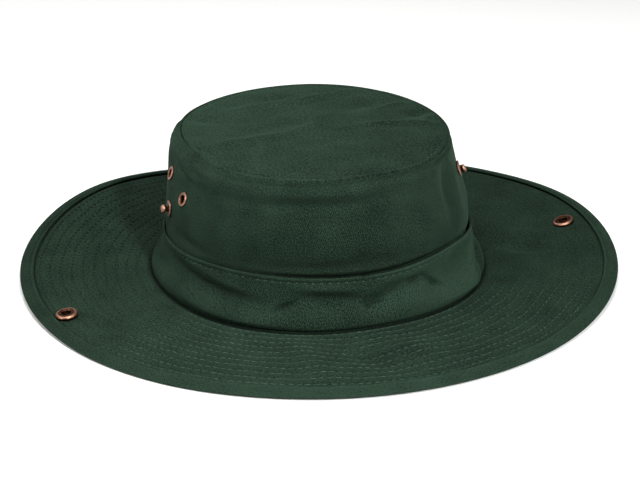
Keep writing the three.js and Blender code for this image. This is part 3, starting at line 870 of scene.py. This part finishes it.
BAND_ROWS = 66
BAND_INNER_ROWS = 12
HEM_STITCH_DOWN = 2 * MM
HEM_FURROW = 0.35 * MM
HEM_ROLL = 0.3 * MM
FOOT_ROLL = 1.5 * MM
THREAD_SUNK = 0.15 * MM

band_up = crowded_ends(BAND_ROWS)
band_out, band_height = band_face(round_hat, band_up)
from_top = band_top_at(round_hat) - band_height
hem = HEM_FURROW * hump(from_top, HEM_STITCH_DOWN, 0.6 * MM)
hem = hem - HEM_ROLL * hump(from_top, 0.7 * MM, 0.8 * MM)
hem = hem + FOOT_ROLL * np.exp(-(band_height - band_height[:, :1]) / (0.5 * MM))
band_places = on_oval(round_hat, band_out, band_height)
band_waves = rumple(band_places, 18 * MM, 2.2) * 0.5 + rumple(band_places, 7 * MM, 8.3) * 0.22
band_loose = np.sin(math.pi * band_up) * band_waves * MM
inner_out, inner_height = moved_in(band_out, band_height, 0.9 * DRILL)
inner_rows = np.linspace(BAND_ROWS - 1, 0, BAND_INNER_ROWS).astype(int)
band_points = beside(
    on_oval(round_hat, band_out - hem + band_loose, band_height),
    on_oval(round_hat, inner_out[:, inner_rows], inner_height[:, inner_rows]),
)
band_cloth = cotton_drill("woven_cotton_drill_band", 30)
band_mesh = ring_of_cloth("band", band_points, strip_pattern(band_points, CROWN_RADIUS))

# The band is painted paler, as light, from its join at the front to where it turns away at the right, and
# painted darker, as shade, beyond that and in its sag. Directions in degrees, levels in mm.
JOIN_AT = 264
TURN_AT = 309
TURN_LEAN = 0.85
band_level = band_points[..., 2] / MM
past_join = ramp(round_hat, JOIN_AT, 40) ** 0.6
before_turn = ramp(TURN_AT + TURN_LEAN * band_level - round_hat, 0, 4)
sag = hump(band_level, 17, 5) * hump(round_hat, 238, 24)
band_painted_light = 1.4 * past_join * before_turn - 0.4 * (1 - before_turn) * (round_hat > JOIN_AT) - 0.35 * sag
paint(band_mesh, "painted_light_and_shade", band_painted_light)
add_piece("band", band_mesh, band_cloth, ["crown_band"])

BAND_HEIGHT = 24 * MM
hem_up = 1 - HEM_STITCH_DOWN / BAND_HEIGHT
hem_out, hem_height = band_face(row_directions[:, None], np.array([[hem_up]]))
hem_row = on_oval(row_directions[:, None], hem_out - THREAD_SUNK, hem_height)[:, 0]
stitched("band_stitches", [hem_row], ["crown_band"], Thickness=0.3 * MM, Length=1.7 * MM)

# Side of the crown
# One long panel of drill joined into a ring, sewn to the top panel above and into the brim seam below,
# behind the band. It stands by itself, so it has soft dents and short puckers under the top seam.

# Every 30 degrees, in mm: height of the top seam, and how far in it lies from the brim's seam
CROWN_DIRECTIONS = table(
    "at seam inwards",
    (0, 76.5, 19),
    (30, 77, 18),
    (60, 77.5, 17.5),
    (90, 77.5, 18),
    (120, 78, 19),
    (150, 79.5, 20),
    (180, 79.5, 20.5),
    (210, 77, 17.5),
    (240, 77.5, 17),
    (270, 78, 17.3),
    (300, 76, 18),
    (330, 76, 19),
)

# Shares of the way up and in, from the band's edge to the top seam. The left side stands straighter than
# the right.
SIDE_SECTIONS = table(
    "name up left right",
    ("band edge", 0, 0, 0),
    ("lower", 0.3, 0.12, 0.12),
    ("middle", 0.58, 0.29, 0.5),
    ("upper", 0.84, 0.46, 0.77),
    ("shoulder", 0.96, 0.68, 0.9),
    ("top seam", 1, 1, 1),
)

# Folds as on the band
SIDE_FOLDS = table(
    "name at level long wide rise deep",
    ("front roll", 243, 71, 38, 3, 1, -1.1),
    ("front crease", 241, 66, 52, 3.2, 1, 2.2),
    ("front dent", 243, 60, 46, 9, 0, 1.1),
    ("front swell", 246, 44, 50, 9, 0, -0.8),
    ("left crease", 186, 67.5, 15, 2.2, -14, 1.5),
    ("left fold", 199, 60, 17, 6, -60, 1.4),
    ("above front eyelet", 186.5, 60.5, 8, 5, 0, 1.4),
    ("below front eyelet", 186.5, 48.5, 8, 5, 0, -1.1),
    ("above rear eyelet", 171.5, 67.5, 8, 5, 0, 1.4),
    ("below rear eyelet", 171.5, 55.5, 8, 5, 0, -1.1),
    ("right hollow", 309, 58, 15, 6.5, 84, 2.3),
    ("right fold", 319, 55, 15, 6, 80, -0.7),
    ("right shoulder", 288, 71, 26, 6, 4, -1.1),
    ("left above band", 191, 33.5, 14, 3, -5, 1.4),
    ("front above band", 243, 33.5, 46, 3.5, 2, 1.6),
    ("back dent", 95, 55, 45, 12, 8, 2),
    ("back crease", 88, 60, 34, 3, 6, 1.2),
    ("rear right fold", 40, 50, 24, 8, -40, 1.6),
    ("rear right crease", 36, 54, 20, 2.4, -38, 1.2),
    ("rear left crease", 140, 58, 22, 2.6, 30, 1.4),
    ("pucker one", 222, 74.5, 3.5, 1.2, 82, -0.8),
    ("pucker two", 224.5, 74.5, 3.5, 1, 78, 0.8),
    ("pucker three", 227, 74.5, 3.5, 1.2, 86, -0.8),
    ("pucker four", 229.5, 75, 4, 1, 100, 0.8),
    ("pucker five", 242.5, 75, 3.5, 1, 90, -0.7),
)

# How far the panel stands back from the band's upper edge, every 30 degrees, in mm
BAND_STANDS_OFF = [1.5, 0.5, 0.3, 0.3, 0.3, 0.3, 0.1, 0.4, 1.8, 2.8, 3, 2.8]

SIDE_ROWS = 84
SEAM_TUCK = 1.2 * MM
HIDDEN_ROWS = 8
SIDE_INNER_ROWS = 20


def crown_seam_at(direction):
    return read_round(CROWN_DIRECTIONS, "seam", direction)


def crown_in_at(direction):
    return read_round(CROWN_DIRECTIONS, "inwards", direction)


def stand_off_at(direction):
    return around(BAND_STANDS_OFF, direction) * MM


def side_face(direction, up):
    """The side panel's outer face above the band as out and height, before its small puckers."""
    left_share = (1 - np.cos(np.radians(direction))) / 2
    places = column(SIDE_SECTIONS, "up")
    right = smooth_through(places, column(SIDE_SECTIONS, "right"), up)
    left = smooth_through(places, column(SIDE_SECTIONS, "left"), up)
    lean = right + (left - right) * left_share
    low = band_top_at(direction)
    height = low + (crown_seam_at(direction) - low) * up
    behind_band = band_in_at(direction) + DRILL + GAP
    inwards = behind_band + (crown_in_at(direction) - behind_band) * lean
    fold = fold_depth(SIDE_FOLDS, direction, height, CROWN_RADIUS) * ramp(1 - up, 0, 0.06)
    standing_off = stand_off_at(direction) * hump(height, low, 1.5 * MM)
    return -inwards - fold - standing_off, height


side_up = 0.004 + 0.981 * crowded_ends(SIDE_ROWS)
side_out, side_height = side_face(round_hat, side_up)
side_places = on_oval(round_hat, side_out, side_height)
stretched = side_places * np.array([1, 1, 0.35])
pucker = rumple(stretched, 5 * MM, 5.5) * ramp(side_up, 0.72, 0.2) * 0.4
loose = rumple(side_places, 30 * MM, 9.4) * 0.7 + rumple(side_places, 11 * MM, 6.1) * 0.28
side_out = side_out + (loose * np.clip(np.sin(math.pi * side_up) * 3, 0, 1) + pucker) * MM
top_seam = crown_seam_at(round_hat)
side_out = side_out - SEAM_TUCK * hump(top_seam - side_height, 2 * MM, 0.8 * MM)

hidden_up = np.linspace(0, 0.97, HIDDEN_ROWS)[None, :]
hidden_out, hidden_height = moved_in(*band_face(round_hat, hidden_up), DRILL + GAP)
hidden_out = hidden_out - stand_off_at(round_hat) * ramp(hidden_up, 0.6, 0.4)

# Three more rows roll the panel over into the top seam
top_in = crown_in_at(round_hat)
rolled_out = beside(-top_in + 0.9 * MM, -top_in + 0.25 * MM, -top_in)
rolled_height = beside(top_seam + 0.1 * MM, top_seam - 0.15 * MM, top_seam - 0.9 * MM)
outer_out = beside(hidden_out, side_out, rolled_out)
outer_height = beside(hidden_height, side_height, rolled_height)
lining_out, lining_height = moved_in(outer_out[:, :-3], outer_height[:, :-3], DRILL)
lining_rows = np.linspace(lining_out.shape[1] - 1, 0, SIDE_INNER_ROWS).astype(int)
side_points = beside(
    on_oval(round_hat, outer_out, outer_height),
    on_oval(round_hat, lining_out[:, lining_rows], lining_height[:, lining_rows]),
)
# The side panel is a little darker than the other pieces, as painted shade
side_cloth = cotton_drill("woven_cotton_drill_side", 28, darker=0.006)
side_mesh = ring_of_cloth("side_cloth", side_points, strip_pattern(side_points, CROWN_RADIUS))

# Painted shade, near black, lies behind the band's upper edge, thickest where it stands off 1.8 mm or more.
# The cloth has painted shade low down at the front and a little painted light high up at the right.
# Directions in degrees, levels in mm.
above_band = side_height - band_top_at(round_hat)
open_there = np.clip(around(BAND_STANDS_OFF, round_hat) / 1.8, 0.3, 1)
side_painted_shade = np.zeros(side_points.shape[:2])
side_painted_shade[:, HIDDEN_ROWS:HIDDEN_ROWS + SIDE_ROWS] = FULL_PAINTED_SHADE * open_there * hump(above_band, 0, 1.6 * MM)
paint(side_mesh, "painted_shade", side_painted_shade)
side_level = side_points[..., 2] / MM
low_front = hump(side_level, 44, 18) * hump(round_hat, 250, 34)
high_right = hump(side_level, 64, 11) * hump(round_hat, 289, 14)
paint(side_mesh, "painted_light_and_shade", 0.15 * high_right - 0.6 * low_front)

# Round holes are punched through the panel where the eyelets and the studs pass
EYELET_HOLE = 3 * MM
STUD_HOLE = 1.7 * MM
PUNCH_LONG = 9 * MM
SEAT_SPAN = 2.5  # degrees to each side over which a seat takes the slope of the cloth
EYELET_SEATS = table(
    "name at up",
    ("eyelet_left_front", 186.5, 0.53),
    ("eyelet_left_rear", 171.5, 0.66),
    ("eyelet_right_front", 331, 0.65),
    ("eyelet_right_rear", 2.5, 0.66),
)
STUD_SEATS = table(
    "name at up",
    ("stud_left", 172.5, 0.3),
    ("stud_right", 347, 0.45),
)


def seat(origin, along, upwards):
    """The matrix that puts a fitting's own +Z along the cloth's outward normal."""
    along = Vector(along).normalized()
    normal = along.cross(Vector(upwards)).normalized()
    side = normal.cross(along)
    matrix = Matrix((along, side, normal)).transposed().to_4x4()
    matrix.translation = Vector(origin)
    return matrix


def side_seat(at, up):
    """A seat on the side panel."""
    def point(direction, share):
        out, height = side_face(np.array(float(direction)), np.array(float(share)))
        return on_oval(direction, out, height)
    along = point(at + SEAT_SPAN, up) - point(at - SEAT_SPAN, up)
    upwards = point(at, up + 0.05) - point(at, up - 0.05)
    return seat(point(at, up), along, upwards)


def punch(mesh, seats_and_radii):
    """The cloth with a round hole through it at each seat."""
    carrier = add_object("cloth_to_punch", mesh)
    tools = bmesh.new()
    for place, radius in seats_and_radii:
        bmesh.ops.create_cone(tools, cap_ends=True, segments=32, radius1=radius, radius2=radius,
                              depth=PUNCH_LONG, matrix=place)
    tool_mesh = bpy.data.meshes.new("punches")
    tools.to_mesh(tool_mesh)
    tools.free()
    tool = add_object("punches", tool_mesh)
    modifier = carrier.modifiers.new("holes", "BOOLEAN")
    modifier.operation = "DIFFERENCE"
    modifier.solver = "MANIFOLD"
    modifier.object = tool
    punched = applied(carrier)
    bpy.data.objects.remove(tool)
    return punched


eyelet_seats = {row["name"]: side_seat(row["at"], row["up"]) for row in EYELET_SEATS}
stud_seats = {row["name"]: side_seat(row["at"], row["up"]) for row in STUD_SEATS}
punches = [(place, EYELET_HOLE) for place in eyelet_seats.values()]
punches += [(place, STUD_HOLE) for place in stud_seats.values()]
add_piece("side_cloth", punch(side_mesh, punches), side_cloth, ["crown_side"])

# Top of the crown
# An oval panel of drill, sewn to the side panel with the seam turned down, and topstitched beside the
# seam. It has sunk a little unevenly, with soft ridges across it.

TOP_DOME = 2.5 * MM
TOP_RINGS = 74
TOP_INNER_RINGS = 20
TOP_RADIUS = 72 * MM
TOP_STITCH_IN = 3 * MM
TOP_STITCH_DOWN = 0.36 * MM
MEETING = 0.001 * MM  # points nearer than this become one

# Ridges and hollows, in mm: place of the middle, half the length and width, and rise, negative if hollow.
# turn: direction of the line in degrees.
TOP_FOLDS = table(
    "name x y long wide turn rise",
    ("back ridge left", -14, 45, 13, 3.2, -4, 1.6),
    ("back ridge", 14, 43, 22, 4, 6, 2.3),
    ("back ridge right", 40, 48.5, 13, 3.5, 14, 1.6),
    ("behind back ridge", 5, 54, 34, 6, 4, -1.2),
    ("middle ridge left", -36, -7, 22, 5, -2, 1.6),
    ("middle ridge", -6, -2, 14, 4.5, 22, 1.2),
    ("middle ridge right", 8, 10, 10, 4, 45, 1.1),
    ("behind middle ridge", -28, 6, 24, 6, 6, -1.1),
    ("right ridge", 36, -12.5, 15, 3.2, -6, 1.6),
    ("right ridge end", 54, -17, 9, 2.6, -8, 1.6),
    ("corner ridge", 65, -9, 8, 2.4, 48, 1.9),
    ("right dent", 62, 1, 9, 5, 32, -3.2),
    ("back right ridge", 57, 16.5, 12, 2.6, 14, 1.6),
    ("back right hollow", 38, 24, 14, 8, 24, -1.9),
    ("left hollow", -50, 36, 13, 5, -50, -1.4),
    ("left pucker", -66, -6, 6, 1.8, 100, -1.6),
    ("left pucker ridge", -63, 2, 7, 2.2, 95, 1.1),
)


def top_fold_rise(x, y):
    """How far the top panel's folds lift it."""
    rise = 0
    for fold in TOP_FOLDS:
        turn = math.radians(fold["turn"])
        beside_x = x / MM - fold["x"]
        beside_y = y / MM - fold["y"]
        on_line = (beside_x * math.cos(turn) + beside_y * math.sin(turn)) / fold["long"]
        off_line = (beside_y * math.cos(turn) - beside_x * math.sin(turn)) / fold["wide"]
        rise = rise + fold["rise"] * MM * np.exp(-on_line ** 2 - off_line ** 2)
    return rise


middle_height = float(np.mean(column(CROWN_DIRECTIONS, "seam"))) * MM


def top_face(direction, share):
    """The top panel's upper face, at shares of the way out from its middle."""
    edge = on_oval(direction, -crown_in_at(direction) - GAP, crown_seam_at(direction))
    x = edge[..., 0] * share
    y = edge[..., 1] * share
    height = middle_height + (edge[..., 2] - middle_height) * share ** 2
    height = height + TOP_DOME * (1 - share ** 4) + top_fold_rise(x, y) * (1 - share ** 14)
    return np.stack([x, y, height], axis=-1)


def join_meeting_points(mesh, place=Matrix()):
    """Joins the points that meet in the middle of a mesh, and sets it in its place."""
    joined = bmesh.new()
    joined.from_mesh(mesh)
    bmesh.ops.remove_doubles(joined, verts=joined.verts, dist=MEETING)
    bmesh.ops.dissolve_degenerate(joined, edges=joined.edges, dist=MEETING)
    joined.transform(place)
    joined.to_mesh(mesh)
    joined.free()


top_share = np.linspace(0, 1, TOP_RINGS)[None, :] ** 0.9
top_points = top_face(round_hat, top_share)
from_edge = (1 - top_share) * TOP_RADIUS
waves = rumple(top_points, 24 * MM, 4.9) * 0.55 + rumple(top_points, 9 * MM, 2.7) * 0.25
top_points[..., 2] += ramp(from_edge, 0, 6 * MM) * waves * MM
top_points[..., 2] -= 0.3 * MM * hump(from_edge, TOP_STITCH_IN, 0.8 * MM)
top_points[..., 2] += 0.25 * MM * hump(from_edge, 1.4 * MM, 0.9 * MM)
top_points[..., 2] -= 0.7 * MM * hump(from_edge, 0, 0.5 * MM)
under_share = np.linspace(1, 0, TOP_INNER_RINGS)[None, :]
top_under = top_face(round_hat, under_share) - np.array([0, 0, DRILL])
top_ring = beside(top_points, top_under)
top_mesh = ring_of_cloth("top_cloth", top_ring, flat_pattern(top_ring))
join_meeting_points(top_mesh)

# Painted light towards the back left, painted shade towards the front right
TOP_LIGHT_ACROSS = 0.4
TOP_LIGHT_REACH = 75 * MM
top_places = np.array([vertex.co for vertex in top_mesh.vertices])
paint(top_mesh, "painted_light_and_shade", TOP_LIGHT_ACROSS * (top_places[:, 1] - top_places[:, 0]) / TOP_LIGHT_REACH)
top_cloth = cotton_drill("woven_cotton_drill_top", 70, coarse=1.5)
add_piece("top_cloth", top_mesh, top_cloth, ["crown_top"])

top_row = top_face(row_directions, 1 - TOP_STITCH_IN / TOP_RADIUS) - np.array([0, 0, TOP_STITCH_DOWN])
stitched("top_stitches", [top_row], ["crown_top"], Thickness=0.26 * MM, Length=1.6 * MM)

# Eyelets
# Two vents in each side of the crown, of thin copper-plated brass. Each is a barrel through the panel,
# rolled over outside and inside, so that it grips the cloth between two rings.

# Aged copper plate: stamped, tumbled dark, then worn pale and pinkish where it stands proud. Its hollows,
# barrels, necks and lower flanks are painted near black as shade.
copper, tree = new_material("stamped_aged_copper_plate")
place = add_node(tree, "ShaderNodeTexCoord")
wear_and_shade = add_node(tree, "ShaderNodeAttribute", attribute_name="wear_and_shade")
tarnish = add_node(tree, "ShaderNodeTexNoise", {
    "Vector": place.outputs["Object"], "Scale": 1 / (1.2 * MM), "Detail": 4, "Roughness": 0.6,
})
plate_wear_and_shade = add_node(tree, "ShaderNodeMix", {
    "Factor": 0.5, "A": wear_and_shade.outputs["Fac"], "B": tarnish,
}, data_type="FLOAT")
plate = add_node(tree, "ShaderNodeValToRGB", {"Fac": plate_wear_and_shade}, stops=[
    (0.15, "#0c0806"), (0.85, "#c2937a"), (0.5, "#44291e"),
])
rough = add_node(tree, "ShaderNodeMapRange", {
    "Value": plate_wear_and_shade, "From Min": 0, "From Max": 1, "To Min": 0.65, "To Max": 0.36,
})
relief = add_node(tree, "ShaderNodeBump", {"Height": tarnish, "Distance": 0.05 * MM, "Strength": 0.6})
shader = add_node(tree, "ShaderNodeBsdfPrincipled", {
    "Base Color": plate, "Roughness": rough, "Metallic": 1, "Normal": relief,
})
add_node(tree, "ShaderNodeOutputMaterial", {"Surface": shader})

TURNED_SIDES = 48


def turned_fitting(name, profile, closed, place, nodes):
    """A fitting turned about its own +Z from (radius, height, worn) rows in mm, set on its seat. A closed
    profile ends where it began, and an open one runs from the middle underneath to the middle on top."""
    rows = np.array(profile, float)
    count = len(rows)
    if closed:
        where = np.arange(count * 4) * 360 / (count * 4)
        line = np.stack([around(rows[:, i], where) for i in range(3)], axis=1)
    else:
        where = np.linspace(0, count - 1, (count - 1) * 4 + 1)
        line = np.stack([smooth_through(np.arange(count), rows[:, i], where) for i in range(3)], axis=1)
        line = line[line[:, 0] >= -1e-6]
    line[:, 0] = np.maximum(line[:, 0], 0)
    turns = np.arange(TURNED_SIDES) * math.tau / TURNED_SIDES
    x = np.cos(turns)[:, None] * line[:, 0] * MM
    y = np.sin(turns)[:, None] * line[:, 0] * MM
    z = np.broadcast_to(line[:, 1] * MM, x.shape)
    points = np.stack([x, y, z], axis=-1)
    mesh = ring_of_cloth(name, points, flat_pattern(points))
    paint(mesh, "wear_and_shade", np.broadcast_to(line[:, 2], x.shape))
    join_meeting_points(mesh, place)
    mesh.shade_smooth()
    return add_piece(name, mesh, copper, nodes)


# Profiles: radius and height above the cloth in mm, and wear from 0 to 1, where the lowest values paint shade
# near black in hollows and under rims
EYELET_PROFILE = [
    (2.3, -1.9, 0.2), (2.5, -2.3, 0.5), (3.1, -2.45, 0.8), (3.75, -2.2, 0.6), (3.6, -1.85, 0.1),
    (2.8, -1.7, 0), (2.65, -1.2, 0), (2.65, -0.2, 0), (2.8, 0.2, 0), (3.6, 0.3, 0.2), (3.85, 0.65, 0.7),
    (3.5, 1.1, 1), (2.8, 1.15, 0.9), (2.3, 0.8, 0.5), (2.15, 0.2, 0.1), (2.15, -1.2, 0),
]
for name, place in eyelet_seats.items():
    turned_fitting(name + "_rolled", EYELET_PROFILE, True, place, [name])

# Press studs
# Stamped and plated: a round plate against the cloth, a narrow neck, and a head with a flattened crown
# that snaps into a socket on the brim. A clenched disc holds each one inside.

STUD_PROFILE = [
    (0, -2.35, 0.5), (2.6, -2.35, 0.6), (3.5, -2.1, 0.7), (3.5, -1.7, 0.2), (1.6, -1.6, 0), (1.4, -1.3, 0),
    (1.4, 0, 0), (1.6, 0.3, 0), (4.1, 0.3, 0.2), (4.5, 0.5, 0.7), (4.3, 0.95, 0.9), (3.4, 1.15, 0.6),
    (1.8, 1.3, 0.2), (1.4, 1.7, 0), (1.35, 2.2, 0), (1.8, 2.45, 0.2), (2.25, 2.9, 0.7), (2.3, 3.6, 0.9),
    (2, 4.35, 1), (1.2, 4.65, 0.9), (0, 4.7, 0.8),
]
for name, place in stud_seats.items():
    turned_fitting(name + "_turned", STUD_PROFILE, False, place, [name])

# Sockets
# Each is a domed ring of the same plated brass round an open well. Its shank passes down through the
# brim and is closed by a plain round cap underneath.

# tilt: degrees that the loose cloth lets each one lean to the left of the hat
SOCKET_SEATS = table(
    "side at out tilt",
    ("left", 186, 57, -5),
    ("right", 350.5, 51.5, -8),
)
# The socket's lower flank is painted near black, as the shade under its ring
SOCKET_PROFILE = [
    (0, 0.6, 0), (1.6, 0.6, 0), (2.4, 0.7, 0), (2.5, 1.1, 0), (2.55, 1.9, 0.1), (2.8, 2.3, 0.55),
    (3.4, 2.4, 0.5), (4, 2.35, 0.45), (4.6, 2.45, 0.8), (5.2, 2.35, 1), (5.7, 1.95, 0.9), (5.95, 1.5, 0.5),
    (6, 1.1, 0), (5.85, 0.6, 0), (5.6, 0.2, 0), (3, 0.1, 0), (0, 0.1, 0),
]
CAP_PROFILE = [
    (0, -2.7, 0.8), (2.5, -2.7, 0.8), (4.2, -2.5, 0.9), (5.1, -2.05, 0.8), (5.2, -1.7, 0.3), (4.8, -1.6, 0),
    (2.1, -1.55, 0), (1.8, -1.3, 0), (1.8, -0.2, 0), (1.6, -0.05, 0), (0, 0, 0),
]


def brim_seat(at, out):
    """A seat on the brim's upper face."""
    def point(direction, distance):
        height = brim_face(np.array([float(direction)]), np.array([distance]))[0]
        return on_oval(direction, distance, height)
    outwards = point(at, out + 5 * MM) - point(at, out - 5 * MM)
    along = point(at + SEAT_SPAN, out) - point(at - SEAT_SPAN, out)
    return seat(point(at, out), outwards, along)


for row in SOCKET_SEATS:
    place = brim_seat(row["at"], row["out"] * MM)
    middle = Matrix.Translation(place.translation)
    askew = middle @ Matrix.Rotation(math.radians(row["tilt"]), 4, "Y") @ middle.inverted()
    for kind, profile in (("socket", SOCKET_PROFILE), ("cap", CAP_PROFILE)):
        node = f"{kind}_{row['side']}"
        turned_fitting(node + "_domed", profile, False, askew @ place, [node])


def plain(box):
    """A box as plain numbers."""
    return [[float(value) for value in corner] for corner in box]
